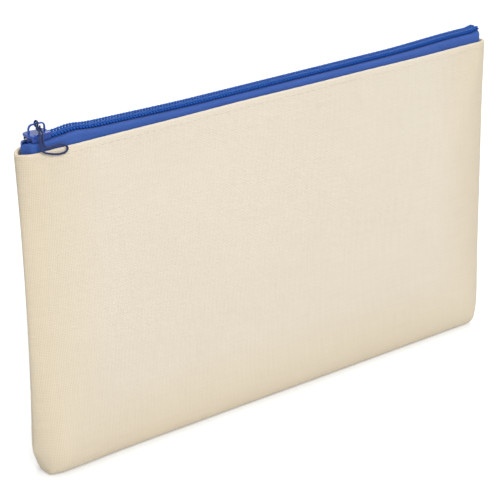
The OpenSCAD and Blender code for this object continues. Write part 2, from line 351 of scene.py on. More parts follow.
@dataclass(frozen=True)
class CanvasFinish(Finish):
    """Unbleached plain-woven cotton: yarns over and under each other, uneven, with a few husk flecks."""

    pitch: float = 0.00062
    pale: tuple = (0.850, 0.765, 0.632)
    shade: tuple = (0.735, 0.640, 0.500)
    fleck: tuple = (0.430, 0.300, 0.170)
    # painted seam shade: the tint multiplied into the cloth near its seams, darker and warmer
    seam_shade: tuple = (0.975, 0.935, 0.850)
    relief: float = 0.00013
    wander: float = 0.6
    crown: float = 0.7
    slub: float = 0.5
    fuzz: float = 0.25
    half_width: float = 0.110
    seam_reach: float = 0.030
    seam_blend: float = 0.012

    def yarn(self, g: Graph, across: Feed, along: Feed, offset: float) -> bpy.types.NodeSocket:
        """One set of yarns: the sine across each, times how far it is on top along it.

        Args:
            g: the material's nodes.
            across: place across the yarns, counted in yarns.
            along: place along them, counted in yarns of the other set.
            offset: 0 or 1, for the set that is on top at an even or an odd crossing.

        Returns:
            The rounded height of the yarns, side by side.
        """
        turn = g.math("MULTIPLY", g.math("ADD", g.math("FLOOR", across), offset), math.pi)
        on_top = g.math("COSINE", g.math("MULTIPLY_ADD", along, math.pi, turn))
        body = g.math("ABSOLUTE", g.math("SINE", g.math("MULTIPLY", across, math.pi)))
        body = g.math("POWER", body, self.crown)
        return g.math("MULTIPLY", body, g.math("MULTIPLY_ADD", on_top, 0.5, 0.5))

    def build(self) -> bpy.types.Material:
        """Height of the weave: the higher of an upright yarn and a level yarn at each place.

        The yarns wander by slow noise, stretched noise makes them thick and thin, and fine noise is their
        fuzz. Painted shade makes the cloth darker and warmer towards its side and bottom seams. A fleck
        shows where two noises are both high.
        """
        g = Graph("canvas_weave")
        place, u, v = g.cloth()
        drift_u = g.noise(g.stretched(place, (70, 14, 1)), 1, 2, 1.0)
        drift_v = g.noise(g.stretched(place, (14, 70, 1)), 1, 2, 2.0)
        across, along = (g.math("ADD", g.math("DIVIDE", way, self.pitch),
                                g.spread(drift, 0, 1, -self.wander, self.wander))
                         for way, drift in ((u, drift_u), (v, drift_v)))
        weave = g.math("MAXIMUM", self.yarn(g, across, g.math("ADD", along, 0.5), 0.0),
                       self.yarn(g, along, g.math("ADD", across, 0.5), 1.0))
        slub = g.math("ADD", g.noise(g.stretched(place, (1500, 60, 1)), 1, 2, 3.0),
                      g.noise(g.stretched(place, (60, 1500, 1)), 1, 2, 4.0))
        height = g.math("ADD", g.math("MULTIPLY_ADD", g.math("SUBTRACT", slub, 1.0), self.slub, weave),
                        g.math("MULTIPLY", g.noise(place, 9000, 3, 5.0), self.fuzz))
        tone = g.math("ADD", g.spread(slub, 0.75, 1.25, -0.14, 0.12),
                      g.spread(g.noise(place, 22, 3, 6.0), 0.3, 0.7, -0.07, 0.07))
        # painted shade and tone: yarn tops paler and the hollows between yarns darker, with noise adding
        # uneven tone
        lit = g.math("ADD", g.spread(weave, 0.1, 0.85, 0.0, 1.0), tone)
        cloth = g.tint(lit, paint(self.shade), paint(self.pale))
        # painted shade: towards the side and bottom seams the colour is multiplied darker and warmer, by the
        # distance to them
        spot = g.node("ShaderNodeSeparateXYZ", {0: g.node("ShaderNodeTexCoord").outputs["Object"]}).outputs
        inward = g.math("SUBTRACT", self.half_width, g.math("ABSOLUTE", spot[0]))
        seam = g.math("SMOOTH_MIN", inward, spot[2], self.seam_blend)
        cloth = g.tint(g.spread(seam, 0.0, self.seam_reach, 1.0, 0.0), cloth, paint(self.seam_shade), "MULTIPLY")
        husk = g.math("GREATER_THAN", g.noise(g.stretched(place, (700, 420, 1)), 1, 1, 7.0), 0.80)
        rare = g.spread(g.noise(place, 90, 1, 8.0), 0.55, 0.65, 0.0, 0.75)
        colour = g.tint(g.math("MULTIPLY", husk, rare), cloth, paint(self.fleck))
        g.finish(colour, height, self.relief, 0.75, 0.92, Sheen_Weight=0.15, Sheen_Roughness=0.6,
                 Specular_IOR_Level=0.15)
        return g.owner


@dataclass(frozen=True)
class TapeFinish(Finish):
    """Woven polyester zip tape: fine ribs along its length, crossed by finer picks."""

    colour: tuple = (0.044, 0.118, 0.450)
    deep: tuple = (0.018, 0.074, 0.300)
    rib: float = 0.00048
    pick: float = 0.00034

    def build(self) -> bpy.types.Material:
        """Height of the weave: the sine across a rib, less a third of the sine along it at each pick."""
        g = Graph("zip_tape_weave")
        place, u, v = g.cloth()
        ribs = g.math("ABSOLUTE", g.math("SINE", g.math("MULTIPLY", v, math.pi / self.rib)))
        step = g.math("MULTIPLY", g.math("FLOOR", g.math("DIVIDE", v, self.rib)), 1.9)
        picks = g.math("SINE", g.math("MULTIPLY_ADD", u, 2 * math.pi / self.pick, step))
        weave = g.math("MULTIPLY_ADD", picks, 0.3, ribs)
        wear = g.noise(g.stretched(place, (60, 300, 1)), 1, 3, 1.0)
        # painted shade: the colour darkens in the hollows between ribs and picks; the wear noise adds uneven
        # colour
        lit = g.math("ADD", g.spread(weave, 0.0, 1.2, 0.0, 1.0), g.spread(wear, 0.3, 0.7, -0.2, 0.2))
        colour = g.tint(lit, paint(self.deep), paint(self.colour))
        g.finish(colour, weave, 0.00007, 0.9, 0.62, Sheen_Weight=0.15, Sheen_Roughness=0.4,
                 Specular_IOR_Level=0.35)
        return g.owner


@dataclass(frozen=True)
class YarnFinish(Finish):
    """Twisted or braided yarn: slanting strands round it."""

    name: str
    colour: tuple
    deep: tuple
    strand: float = 0.0003
    slant: float = 0.9
    roughness: float = 0.7

    def build(self) -> bpy.types.Material:
        """Height of the strands: the higher of two sines that slant either way round the yarn."""
        g = Graph(self.name)
        place, u, v = g.cloth()
        turns = math.tau / self.strand
        one, two = (g.math("SINE", g.math("MULTIPLY", g.math("MULTIPLY_ADD", v, slant, u), turns))
                    for slant in (self.slant, -self.slant))
        weave = g.math("MAXIMUM", one, two)
        # painted shade: the colour darkens in the hollows between strands; noise adds uneven tone
        lit = g.math("ADD", g.spread(weave, -0.6, 1.0, 0.0, 1.0),
                     g.spread(g.noise(place, 900, 2, 2.0), 0.3, 0.7, -0.2, 0.2))
        colour = g.tint(lit, paint(self.deep), paint(self.colour))
        g.finish(colour, weave, 0.00005, 0.9, self.roughness, Sheen_Weight=0.08, Specular_IOR_Level=0.25)
        return g.owner


@dataclass(frozen=True)
class CoilFinish(Finish):
    """Extruded nylon: smooth and a little translucent, with faint drawing lines along it."""

    colour: tuple = (0.006, 0.106, 0.500)
    deep: tuple = (0.003, 0.066, 0.360)

    def build(self) -> bpy.types.Material:
        """Roughness and colour drift along the strand, with fine lines along it."""
        g = Graph("zip_coil_nylon")
        place = g.cloth()[0]
        lines = g.noise(g.stretched(place, (200, 14000, 1)), 1, 2, 1.0)
        drift = g.noise(place, 150, 2, 2.0)
        colour = g.tint(g.spread(drift, 0.3, 0.7, 0.2, 1.0), paint(self.deep), paint(self.colour))
        g.finish(colour, lines, 0.000012, 0.6, g.spread(lines, 0.3, 0.7, 0.34, 0.48),
                 Specular_IOR_Level=0.3)
        return g.owner


@dataclass(frozen=True)
class EnamelFinish(Finish):
    """Gloss paint over a small casting: faint orange peel, rubbed a little paler where hands touch it."""

    colour: tuple = (0.010, 0.055, 0.310)
    rubbed: tuple = (0.024, 0.085, 0.380)

    def build(self) -> bpy.types.Material:
        """Peel is fine noise in the relief; wear is slow noise in colour and roughness."""
        g = Graph("slider_enamel")
        place = g.node("ShaderNodeTexCoord").outputs["Object"]
        peel = g.noise(place, 1800, 2, 1.0)
        wear = g.noise(place, 420, 4, 2.0)
        colour = g.tint(g.spread(wear, 0.45, 0.75, 0.0, 1.0), paint(self.colour), paint(self.rubbed))
        g.finish(colour, peel, 0.00001, 0.5, g.spread(wear, 0.35, 0.75, 0.26, 0.46), Coat_Weight=0.25,
                 Coat_Roughness=0.18, Specular_IOR_Level=0.35)
        return g.owner


CANVAS = CanvasFinish()
TAPE = TapeFinish()
COIL = CoilFinish()
ENAMEL = EnamelFinish()
CORD = YarnFinish("pull_cord_braid", (0.030, 0.044, 0.150), (0.012, 0.019, 0.075), 0.0005, 1.0, 0.6)
FILLER = YarnFinish("filler_cord_yarn", (0.010, 0.104, 0.460), (0.004, 0.068, 0.330), 0.0005, 0.8, 0.75)
BLUE_THREAD = YarnFinish("coil_thread", (0.016, 0.124, 0.500), (0.006, 0.074, 0.350), 0.0003, 0.8, 0.55)
PALE_THREAD = YarnFinish("stitch_thread", (0.850, 0.770, 0.640), (0.760, 0.670, 0.530), 0.0003, 0.8, 0.6)
OVERLOCK = YarnFinish("edge_thread", (0.800, 0.740, 0.620), (0.520, 0.440, 0.330), 0.0003, 0.8, 0.7)


# ---------------------------------------------------------------- the canvas shell


@dataclass
class Shell:
    """The pouch's form: a flat lofted shell, fullest a third of the way up and closed at its seams."""

    half_w: float = 110.0
    height: float = 125.0
    ply: float = 0.7
    belly: float = 9.0
    belly_z: float = 40.0
    mouth: float = 5.55
    foot_draw: float = 0.9
    foot_h: float = 16.0
    foot_power: float = 3.2
    foot_flat: float = 0.4
    side_power: float = 1.7
    side_reach: float = 30.0
    foot_reach: float = 9.0
    top_reach: float = 6.0
    corner_h: float = 10.0
    corner_w: float = 4.2
    corner_dip: float = 0.6
    seam_y: float = 0.06
    left_bow: float = 0.86
    right_bow: float = -1.1
    left_foot: float = 1.2
    left_foot_x: float = -98.0
    left_foot_w: float = 16.0
    left_foot_h: float = 14.0
    far_dip: float = 0.3
    far_dip_x: float = 40.0
    far_dip_w: float = 45.0
    slow: tuple = (0.22, 0.16, 0.10)
    puckers: tuple = (0.16, 0.13, 0.05)
    back_phase: float = 2.4

    def row(self, s: np.ndarray) -> tuple[np.ndarray, np.ndarray]:
        """Height and share of the thickness on the way up the wall.

        Up to s = 1 the rows turn a quarter of a superellipse round the foot: the height is the foot's
        height times one less cosine to the power 2 / foot_power, and the share is sine to that power. Past
        it the height grows evenly to the top edge at s = 2.

        Args:
            s: 0 at the bottom seam, 1 at the top of the foot, 2 at the top edge.

        Returns:
            Heights and shares, as s is shaped.
        """
        turn = np.clip(s, 0.0, 1.0) * math.pi / 2.0
        power = 2.0 / self.foot_power
        z = self.foot_h * (1.0 - np.maximum(np.cos(turn), 0.0) ** power)
        z = z + np.maximum(s - 1.0, 0.0) * (self.height - self.foot_h)
        return z, np.sin(turn) ** power

    def swell(self, z: np.ndarray) -> np.ndarray:
        """Half the thickness at a height: a parabola below the belly and a half cosine wave above it."""
        low = self.belly - self.foot_draw * ((self.belly_z - z) / self.belly_z) ** 2
        wave = 0.5 + 0.5 * np.cos(math.pi * (z - self.belly_z) / (self.height - self.belly_z))
        return np.where(z < self.belly_z, low, self.mouth + (self.belly - self.mouth) * wave)

    def side_share(self, d: np.ndarray, reach: np.ndarray) -> np.ndarray:
        """Share of the thickness at a distance from a side seam: a superellipse that starts square to it."""
        r = np.clip(d / reach, 0.0, 1.0)
        return (1.0 - (1.0 - r) ** self.side_power) ** (1.0 / self.side_power)

    def reach_at(self, z: np.ndarray) -> np.ndarray:
        """How far in the side's curve reaches: most at half height, less at the foot and the mouth."""
        h = 2.0 * z / self.height - 1.0
        end = np.where(h < 0, self.foot_reach, self.top_reach)
        return self.side_reach + (end - self.side_reach) * smooth(np.abs(h))

    def uneven(self, x: np.ndarray, z: np.ndarray, side: Side) -> np.ndarray:
        """How far the hand-sewn cloth stands off the true form.

        Three slow waves that cross each other, and short puckers that die away within a few millimetres of
        the side seams, the bottom seam and the mouth.

        Args:
            x: places across.
            z: their heights.
            side: front or back.

        Returns:
            The distance outwards.
        """
        k = 0.0 if side is Side.FRONT else self.back_phase
        d = self.half_w - np.abs(x)
        wide, tall, fine = self.slow
        slow = (wide * np.sin(x / 17.0 + 0.9 * np.sin(z / 26.0) + k)
                + tall * np.sin(z / 13.0 - x / 31.0 + 1.7 * k) + fine * np.sin(x / 9.0 + z / 19.0 + k))
        sides, foot, mouth = self.puckers
        rows = np.exp(-((z - self.height + 2.4) / 3.0) ** 2)
        pucker = (sides * np.exp(-d / 4.0) * np.sin(z / 1.25 + 2.0 * np.sin(z / 9.0) + k)
                  + foot * np.exp(-z / 5.0) * np.sin(x / 1.4 + 2.0 * np.sin(x / 13.0) + k)
                  + mouth * rows * np.sin(x / 0.9 + 1.5 * np.sin(x / 11.0)))
        return (slow + pucker) * smooth(d / 5.0) * smooth(z / 3.0)

    def face(self, x: np.ndarray, s: np.ndarray, side: Side) -> np.ndarray:
        """Points of the outer face.

        The thickness is the swell times the row's share and the side's share. Each lower corner is cut off
        by its slanting seam, the floor presses the foot flat, the mouth's ends dip, the far one more, and
        the sides bow by a half sine wave, in on the left and out on the right.

        Args:
            x: places across.
            s: rows, as in row().
            side: front or back.

        Returns:
            Points (..., 3) in millimetres.
        """
        z, share = self.row(s)
        d = self.half_w - np.abs(x)
        lift = self.corner_h * np.maximum(0.0, 1.0 - d / self.corner_w) ** 1.1
        lift = lift * np.clip(1.0 - z / self.height, 0.0, 1.0) ** 6
        dip = self.corner_dip * (1.0 - self.side_share(d, self.top_reach))
        dip = dip + self.far_dip * smooth((x - self.far_dip_x) / self.far_dip_w)
        dip = dip * smooth(2.0 * z / self.height - 1.0)
        width = share * self.side_share(d, self.reach_at(z))
        near = ((x - self.left_foot_x) / self.left_foot_w) ** 2 + (z / self.left_foot_h) ** 2
        fuller = self.left_foot * np.exp(-near) * (side is Side.FRONT)
        thick = self.seam_y + (self.swell(z) + self.uneven(x, z, side) + fuller - self.seam_y) * width
        bow = np.where(x < 0, self.left_bow, self.right_bow) * np.abs(x) ** 3 / self.half_w**3
        in_x = x - np.sign(x) * bow * np.sin(math.pi * np.clip(z / self.height, 0.0, 1.0))
        up = np.maximum(0.0, z - self.foot_flat * smooth(1.0 - z / self.foot_h) + lift) - dip
        return np.stack([in_x, side.value * thick, up], axis=-1)

    def sheet(self, x: np.ndarray, s: np.ndarray, depth: np.ndarray, side: Side) -> np.ndarray:
        """Points at a depth under the outer face, measured square to it.

        The direction is the cross product of the face's slopes across and up, from small steps either way.
        On a seam it is laid into the seam's plane.

        Args:
            x: places across.
            s: rows.
            depth: depth under the face.
            side: front or back.

        Returns:
            Points (..., 3) in millimetres.
        """
        x, s, depth = np.broadcast_arrays(x, s, depth)
        step = 0.02
        east = self.face(np.minimum(x + step, self.half_w), s, side)
        west = self.face(np.maximum(x - step, -self.half_w), s, side)
        over = self.face(x, np.minimum(s + step / 10, 2.02), side)
        below = self.face(x, np.maximum(s - step / 10, 0.0), side)
        normal = np.cross(east - west, over - below) * -side.value
        seam = (np.abs(x) >= self.half_w - 1e-6) | (s <= 1e-6)
        normal[..., 1] = np.where(seam, 0.0, normal[..., 1])
        return self.face(x, s, side) - unit(normal) * depth[..., None]

    def columns(self, span: Span, count: int, reach: Optional[float] = None) -> np.ndarray:
        """Places across a span, closer together towards the side seams."""
        reach = reach or self.half_w
        turn = np.linspace(0.0, math.pi, 2 * count + 1)
        x = -reach * np.cos(turn)
        x[count] = 0.0
        return x[(x >= span.value[0] * reach - 1e-9) & (x <= span.value[1] * reach + 1e-9)]

    def mouth_s(self, z: np.ndarray) -> np.ndarray:
        """The row parameter of a height on the wall."""
        return 1.0 + (z - self.foot_h) / (self.height - self.foot_h)


@dataclass
class Panel:
    """One canvas panel: a single ply, folded in and doubled at the mouth."""

    shell: Shell
    hem: float = 8.0
    edge_z: tuple = (0.3, 0.1, 0.0, -0.15, -0.6)
    edge_plies: tuple = (1.9, 1.5, 1.1)
    foot_rows: int = 16
    wall_rows: int = 46
    bend_rows: int = 7
    hem_rows: int = 7
    inside_rows: int = 30
    half_columns: int = 96

    def build(self, name: str, side: Side, span: Span) -> bpy.types.Object:
        """Makes the panel as one closed loop of cloth per column.

        The loop climbs the outer face, turns over the fold on a half circle, comes down as the hem's second
        ply to its edge, steps back to the single ply over edge_z and goes down inside to the bottom seam.
        Places on the cloth are lengths across from the middle and down from the fold, so the yarns stay
        level there.

        Args:
            name: the piece's name.
            side: front or back.
            span: the stretch it covers.

        Returns:
            The panel.
        """
        sh, t = self.shell, self.shell.ply
        fold_z, hem_low = sh.height - t, sh.height - self.hem
        foot = np.linspace(0.0, 1.0, self.foot_rows + 1)
        wall = np.linspace(1.0, sh.mouth_s(fold_z), self.wall_rows + 1)[1:]
        bend = np.linspace(0.0, math.pi, self.bend_rows + 2)[1:-1]
        inner = np.linspace(fold_z, hem_low + self.edge_z[0], self.hem_rows)
        step = hem_low + np.array(self.edge_z[1:-1])
        down = np.linspace(sh.mouth_s(hem_low + self.edge_z[-1]), 1.0, self.inside_rows)
        inside = np.concatenate([down, foot[::-1][1:]])
        mouth = sh.mouth_s(np.concatenate([fold_z + t * np.sin(bend), inner, step]))
        s = np.concatenate([foot, wall, mouth, inside])
        outside = np.zeros(len(foot) + len(wall))
        plies = np.concatenate([outside, 1.0 - np.cos(bend), np.full(len(inner), 2.0), self.edge_plies,
                                np.ones(len(inside))])
        x = sh.columns(span, self.half_columns)
        grid = sh.sheet(x[:, None], s[None, :], t * plies[None, :], side)
        closed = np.concatenate([grid, grid[:, :1]], axis=1)
        across, along = run_length(closed, 0), run_length(closed, 1)
        fold = len(foot) + len(wall) - 1
        parts = Fabrication()
        parts.add_loops(grid, np.stack([across - across[int(np.argmin(np.abs(x)))][None, :],
                                        along - along[:, fold:fold + 1]], axis=-1))
        return parts.make(name, CANVAS, 65.0)


@dataclass
class Stitching:
    """A row of lockstitch along the mouth, below the fold."""

    shell: Shell
    below_edge: float = 2.4
    length: float = 2.5
    gap: float = 0.55
    radius: float = 0.13
    sunk: float = 0.16
    proud: float = 0.02
    least: float = 0.02
    reach: float = 106.5
    shares: tuple = (-1.0, -0.92, -0.6, 0.0, 0.6, 0.92, 1.0)

    def build(self, name: str, side: Side, span: Span) -> bpy.types.Object:
        """Makes the stitches: short bars with tapered, sunken ends that follow the face.

        A bar's points lie at the stitch's middle plus shares of half its length. They sink by the share to
        the fourth, and the ring's radius is the fourth root of one less the share to the fourth.

        Args:
            name: the piece's name.
            side: front or back.
            span: the stretch it covers.

        Returns:
            The stitches.
        """
        pitch, share = self.length + self.gap, np.array(self.shares)
        middles = np.arange(-self.reach, self.reach, pitch) + pitch / 2
        low, high = (end * self.reach for end in span.value)
        middles = middles[(middles > low) & (middles < high)]
        x = middles[:, None] + share[None, :] * self.length / 2
        s = self.shell.mouth_s(np.full_like(x, self.shell.height - self.below_edge))
        sunk = np.broadcast_to(self.sunk * share[None, :] ** 4 - self.proud, x.shape)
        radius = self.radius * np.maximum(1.0 - share**4, self.least) ** 0.25
        bars = (tube_grid(line, radius, 6, (0.0, 0.0, 1.0)) for line in self.shell.sheet(x, s, sunk, side))
        return Fabrication(*bars).make(name, PALE_THREAD)


@dataclass
class SeamAllowance:
    """The cloth edges left inside a seam, pressed together and overlocked."""

    shell: Shell
    inset: float = 1.3
    width: float = 7.5
    thickness: float = 1.3
    below_mouth: float = 10.0
    corner_room: float = 1.5
    points: int = 60
    wave: float = 0.35
    wave_points: float = 4.0
    stitch: float = 2.6
    per_stitch: int = 12
    thread: float = 0.17
    thread_out: float = 1.3
    thread_over: float = 0.25
    thread_in: float = 0.8

    def line(self, inset: float) -> np.ndarray:
        """A U-shaped line inside the seams: down one side, round both corners and up the other side.

        Args:
            inset: distance in from the seams.

        Returns:
            Points (n, 2): x and z.
        """
        sh = self.shell
        w, low, high = sh.half_w - inset, inset, sh.height - self.below_mouth
        tall, wide = sh.corner_h + self.corner_room, sh.corner_w + self.corner_room
        slant = np.linspace(0.0, 1.0, 6)
        z = np.linspace(high, low + tall, self.points)
        bow = np.sin(math.pi * np.clip(z / sh.height, 0, 1))
        base_x = np.linspace(-w + wide, w - wide, 2 * self.points)
        corner = np.stack([w - wide * (1.0 - slant), low + tall * slant], 1)
        return np.concatenate([np.stack([-w + sh.left_bow * bow, z], 1), (corner * [-1, 1])[::-1][1:],
                               np.stack([base_x, np.full_like(base_x, low)], 1)[1:], corner[1:],
                               np.stack([w - sh.right_bow * bow, z], 1)[::-1][1:]])

    def build(self) -> list[bpy.types.Object]:
        """Makes the pressed edges and the looped thread over them.

        The strip's rings run between an outer and an inner line, and a sine wave leans it more and more
        towards its free edge. The thread goes round that edge on an oval, once a stitch.

        Returns:
            The strip of cloth and its overlock.
        """
        outer, inner = self.line(self.inset), self.line(self.width)
        wave = self.wave * np.sin(np.arange(len(outer)) / self.wave_points)
        share = np.array([0.0, 0.5, 1.0, 1.0, 0.5, 0.0])
        lay = np.array([-1.0, -1.0, -0.8, 0.8, 1.0, 1.0]) * self.thickness / 2
        flat = outer[:, None] * (1 - share[None, :, None]) + inner[:, None] * share[None, :, None]
        y = lay[None, :] * np.minimum(1.0, 0.35 + share)[None, :] + wave[:, None] * share[None, :]
        cloth = Fabrication(np.stack([flat[..., 0], y, flat[..., 1]], axis=-1))
        line = self.line(self.width - self.thread_in)
        length = run_length(line[None], 1)[0]
        at = np.arange(0.0, length[-1], self.stitch / self.per_stitch)
        mid = np.stack([np.interp(at, length, line[:, k]) for k in (0, 1)], 1)
        heading = unit(np.gradient(mid, axis=0))
        normal = np.stack([-heading[:, 1], heading[:, 0]], 1)
        turn = at * math.tau / self.stitch
        out = mid + normal * (self.thread_out * np.cos(turn))[:, None]
        over = np.interp(at, length, wave) + (self.thickness / 2 + self.thread_over) * np.sin(turn)
        loops = np.stack([out[:, 0], over, out[:, 1]], axis=1)
        thread = Fabrication(tube_grid(loops, self.thread, 5, (0.31, 0.11, 0.27)))
        return [cloth.make("seam_allowance", CANVAS), thread.make("overlock_thread", OVERLOCK)]


# ---------------------------------------------------------------- the zip


@dataclass
class Chain:
    """Sizes that the zip's tapes, coils, threads and slider share."""

    shell: Shell
    pitch: float = 1.25
    coil_h: float = 1.6
    tape_t: float = 0.45
    rise: float = 2.9
    sewn: float = 7.0
    edge: float = 0.6
    edge_open: float = 1.6
    tape_end: float = 2.4
    closed_round: float = 1.9
    far_round: float = 1.6
    rounding: float = 0.8
    first_loop: float = -102.4
    last_loop: float = 107.2
    strand: float = 0.26
    back: float = 2.2
    head: float = 0.35
    sag: float = 0.95
    sag_from: float = -92.0
    sag_in: float = 60.0
    sag_to: float = 98.0
    sag_out: float = 42.0
    far_lift: float = 0.6
    far_lift_x: float = 101.6
    far_lift_w: float = 4.0
    near_lift: float = 0.75
    near_lift_x: float = -87.0
    near_lift_w: float = 5.0

    @property
    def top(self) -> float:
        """Height of the tape's flat top."""
        return self.shell.height + self.rise

    def shift(self, side: Side) -> float:
        """How far a side's loops lie along the zip: the back's lie half a pitch on."""
        return 0.0 if side is Side.FRONT else self.pitch / 2

    def settle(self, x: np.ndarray) -> np.ndarray:
        """How far the zip sinks at x.

        Between its ends it sags by an even amount, eased in and out, and it stands a little proud just past
        the slider, by a bell curve, and at the far end. At each end it rounds down along part of a quarter
        circle.

        Args:
            x: places along the zip.

        Returns:
            The depth below the flat top.
        """
        sag = self.sag * smooth((x - self.sag_from) / self.sag_in) * smooth((self.sag_to - x) / self.sag_out)
        sag = sag - self.far_lift * smooth((x - self.far_lift_x) / self.far_lift_w)
        sag = sag - self.near_lift * np.exp(-((x - self.near_lift_x) / self.near_lift_w) ** 2)
        r = np.where(x < 0, self.closed_round, self.far_round)
        d = np.clip(self.shell.half_w - self.tape_end - np.abs(x), 0.0, r)
        return sag + self.rounding * (r - np.sqrt(r**2 - (r - d) ** 2))


@dataclass
class Tape:
    """One woven tape: sewn inside the fold, then up and over to the middle of the mouth."""

    chain: Chain
    half_columns: int = 110
    below_fold: float = 0.6
    off_hem: float = 0.10
    end_off: float = 0.35
    end_reach: float = 2.2
    pinch: float = 0.85
    part_x: float = 0.35
    part_w: float = 0.6
    part_end: float = 1.5
    least_flat: float = 0.9
    bend: float = 1.0
    bend_share: float = 0.8
    lip: float = 0.6

    def build(self, name: str, side: Side, span: Span) -> bpy.types.Object:
        """Makes the tape as a loop of cloth per column.

        Its middle line runs up inside the hem, then up to a quarter bend and flat to the inner edge. At
        each end of the zip it closes in towards the other tape. The loop is that line moved out and in by
        half the thickness, square to it.

        Args:
            name: the piece's name.
            side: front or back.
            span: the stretch it covers.

        Returns:
            The tape.
        """
        c, sh = self.chain, self.chain.shell
        x = sh.columns(span, self.half_columns, sh.half_w - c.tape_end)
        d = sh.half_w - np.abs(x)
        z_in = sh.height - c.sewn + np.linspace(0.0, 1.0, 5) * (c.sewn - self.below_fold)
        low = (sh.face(x[:, None], sh.mouth_s(z_in)[None, :], side) * [1.0, -side.value, 1.0])[..., 1]
        square = np.sqrt(1 + np.gradient(low, x, axis=0) ** 2 + np.gradient(low, z_in, axis=1) ** 2)
        clear = 2 * sh.ply + self.off_hem + c.tape_t / 2
        y_in = low + clear * square + self.end_off * smooth(self.end_reach - d / c.tape_end)[:, None]
        parting = smooth((c.first_loop - self.part_x - x) / self.part_w)
        parting = parting * smooth((x + sh.half_w - c.tape_end) / self.part_end)
        y_edge = -(c.edge + (c.edge_open - c.edge) * parting)[:, None]
        y_up = np.minimum(y_in[:, -1:], y_edge - self.least_flat)
        top = (c.top - c.tape_t / 2 - c.settle(x))[:, None]
        bend = np.minimum(self.bend, self.bend_share * (y_edge - y_up))
        turn = np.linspace(0.0, math.pi / 2, 6)[None, :]
        y_arc, z_arc = y_up + bend * (1 - np.cos(turn)), top - bend * (1 - np.sin(turn))
        y_flat = y_arc[:, -1:] + (y_edge - y_arc[:, -1:]) * np.array([[0.4, 0.75, 1.0]])
        y = np.concatenate([y_in, y_arc, y_flat], axis=1)
        z = np.concatenate([np.repeat(z_in[None, :], len(x), 0), z_arc, np.repeat(top, 3, axis=1)], axis=1)
        line = np.stack([y, z], axis=-1)
        heading = unit(np.gradient(line, axis=1))
        normal = np.stack([-heading[..., 1], heading[..., 0]], axis=-1) * c.tape_t / 2
        lip = unit(line[:, -1:] - line[:, -2:-1]) * c.tape_t / 2 * self.lip
        closing = 1.0 - self.pinch * smooth((c.tape_end + self.end_reach - d) / self.end_reach)
        line[..., 0] *= closing[:, None]
        loop = np.concatenate([line + normal, line[:, -1:] + lip, (line - normal)[:, ::-1]], axis=1)
        across = np.repeat(x[:, None], loop.shape[1], 1)
        grid = np.stack([across, -side.value * loop[..., 0], loop[..., 1]], axis=-1)
        return Fabrication(grid).make(name, TAPE, 65.0)


@dataclass
class Coil:
    """One half of the chain: a monofilament wound in a flattened helix, its heads between the other's."""

    chain: Chain
    points: int = 10
    sides: int = 6
    spread: float = 0.75
    squareness: float = 2.6
    straight: float = 0.8

    def build(self, name: str, side: Side, span: Span) -> bpy.types.Object:
        """Makes the helix.

        Over a turn the strand goes round a superellipse in Y and Z. Its X grows by the pitch times the
        turn, less a share of the turn's sine over two pi, so that the heads run straight. The strand is
        pressed wider along the zip towards the back of each loop.

        Args:
            name: the piece's name.
            side: front or back.
            span: the stretch it covers.

        Returns:
            The coil.
        """
        c, shift = self.chain, self.chain.shift(side)
        middle = math.floor((0.0 - c.first_loop - shift) / c.pitch) + 0.5
        first = middle if span is Span.RIGHT else 0.0
        last = middle if span is Span.LEFT else float(int((c.last_loop - c.first_loop) / c.pitch))
        steps = np.arange(round((last - first) * self.points) + 1)
        theta = steps / self.points * math.tau + first * math.tau
        cos, sin, power = np.cos(theta), np.sin(theta), 2.0 / self.squareness
        y = (c.head - c.back) / 2 + ((c.head + c.back) / 2 - c.strand) * signed_power(cos, power)
        x = c.first_loop + shift + c.pitch * (theta - self.straight * sin) / math.tau
        z = c.top + c.coil_h / 2 + (c.coil_h / 2 - c.strand) * signed_power(sin, power) - c.settle(x)
        path = np.stack([x, -side.value * y, z], axis=1)
        flat = 1.0 + self.spread * (0.5 - 0.5 * cos)
        return Fabrication(tube_grid(path, c.strand, self.sides, (1.0, 0.0, 0.0), flat)).make(name, COIL)


@dataclass
class Filler:
    """The soft cord that the coil is wound round, pressed flat inside the loops."""

    chain: Chain
    radius: float = 0.72
    flat: float = 0.36
    from_middle: float = 1.05
    short: float = 0.7

    def build(self, name: str, side: Side, span: Span) -> bpy.types.Object:
        """Makes the cord, as a tube along the coil that sinks with it.

        Args:
            name: the piece's name.
            side: front or back.
            span: the stretch it covers.

        Returns:
            The cord.
        """
        c = self.chain
        x = np.linspace(0.0 if span is Span.RIGHT else c.first_loop - c.pitch,
                        0.0 if span is Span.LEFT else c.last_loop - self.short, 120)
        path = np.stack([x, np.full_like(x, side.value * self.from_middle),
                         c.top + c.coil_h / 2 - c.settle(x)], axis=1)
        return Fabrication(tube_grid(path, self.radius, 12, (0.0, 0.0, 1.0), self.flat)).make(name, FILLER)


@dataclass
class CoilThreads:
    """The threads that sew a coil to its tape: each runs over the loops and dips between them."""

    chain: Chain
    radius: float = 0.16
    from_middle: tuple = (1.1, 1.5, 1.9)
    short: float = 1.2
    straight: float = 0.45
    sunk: float = 0.05
    ripple: float = 0.12
    sway: float = 0.05

    def build(self, name: str, side: Side, span: Span) -> bpy.types.Object:
        """Makes the threads: a cosine ripple of one pitch on top of the coil, which leans as its loops do.

        Args:
            name: the piece's name.
            side: front or back.
            span: the stretch it covers.

        Returns:
            The threads.
        """
        c = self.chain
        x = np.arange(0.0 if span is Span.RIGHT else c.first_loop,
                      0.0 if span is Span.LEFT else c.last_loop - self.short, c.pitch / 5)
        parts = Fabrication()
        for k, y in enumerate(self.from_middle):
            lean = c.pitch / 2 * (y - self.straight) / (c.back - self.straight)
            phase = (x - c.first_loop - c.shift(side) - lean) * math.tau / c.pitch
            z = c.top + c.coil_h - self.sunk + self.ripple * np.cos(phase) - c.settle(x)
            path = np.stack([x, side.value * y + self.sway * np.sin(phase / 2 + k), z], axis=1)
            parts.add_loops(tube_grid(path, self.radius, 5, (0.0, 0.0, 1.0)))
        return parts.make(name, BLUE_THREAD)


# ---------------------------------------------------------------- the slider and its pull


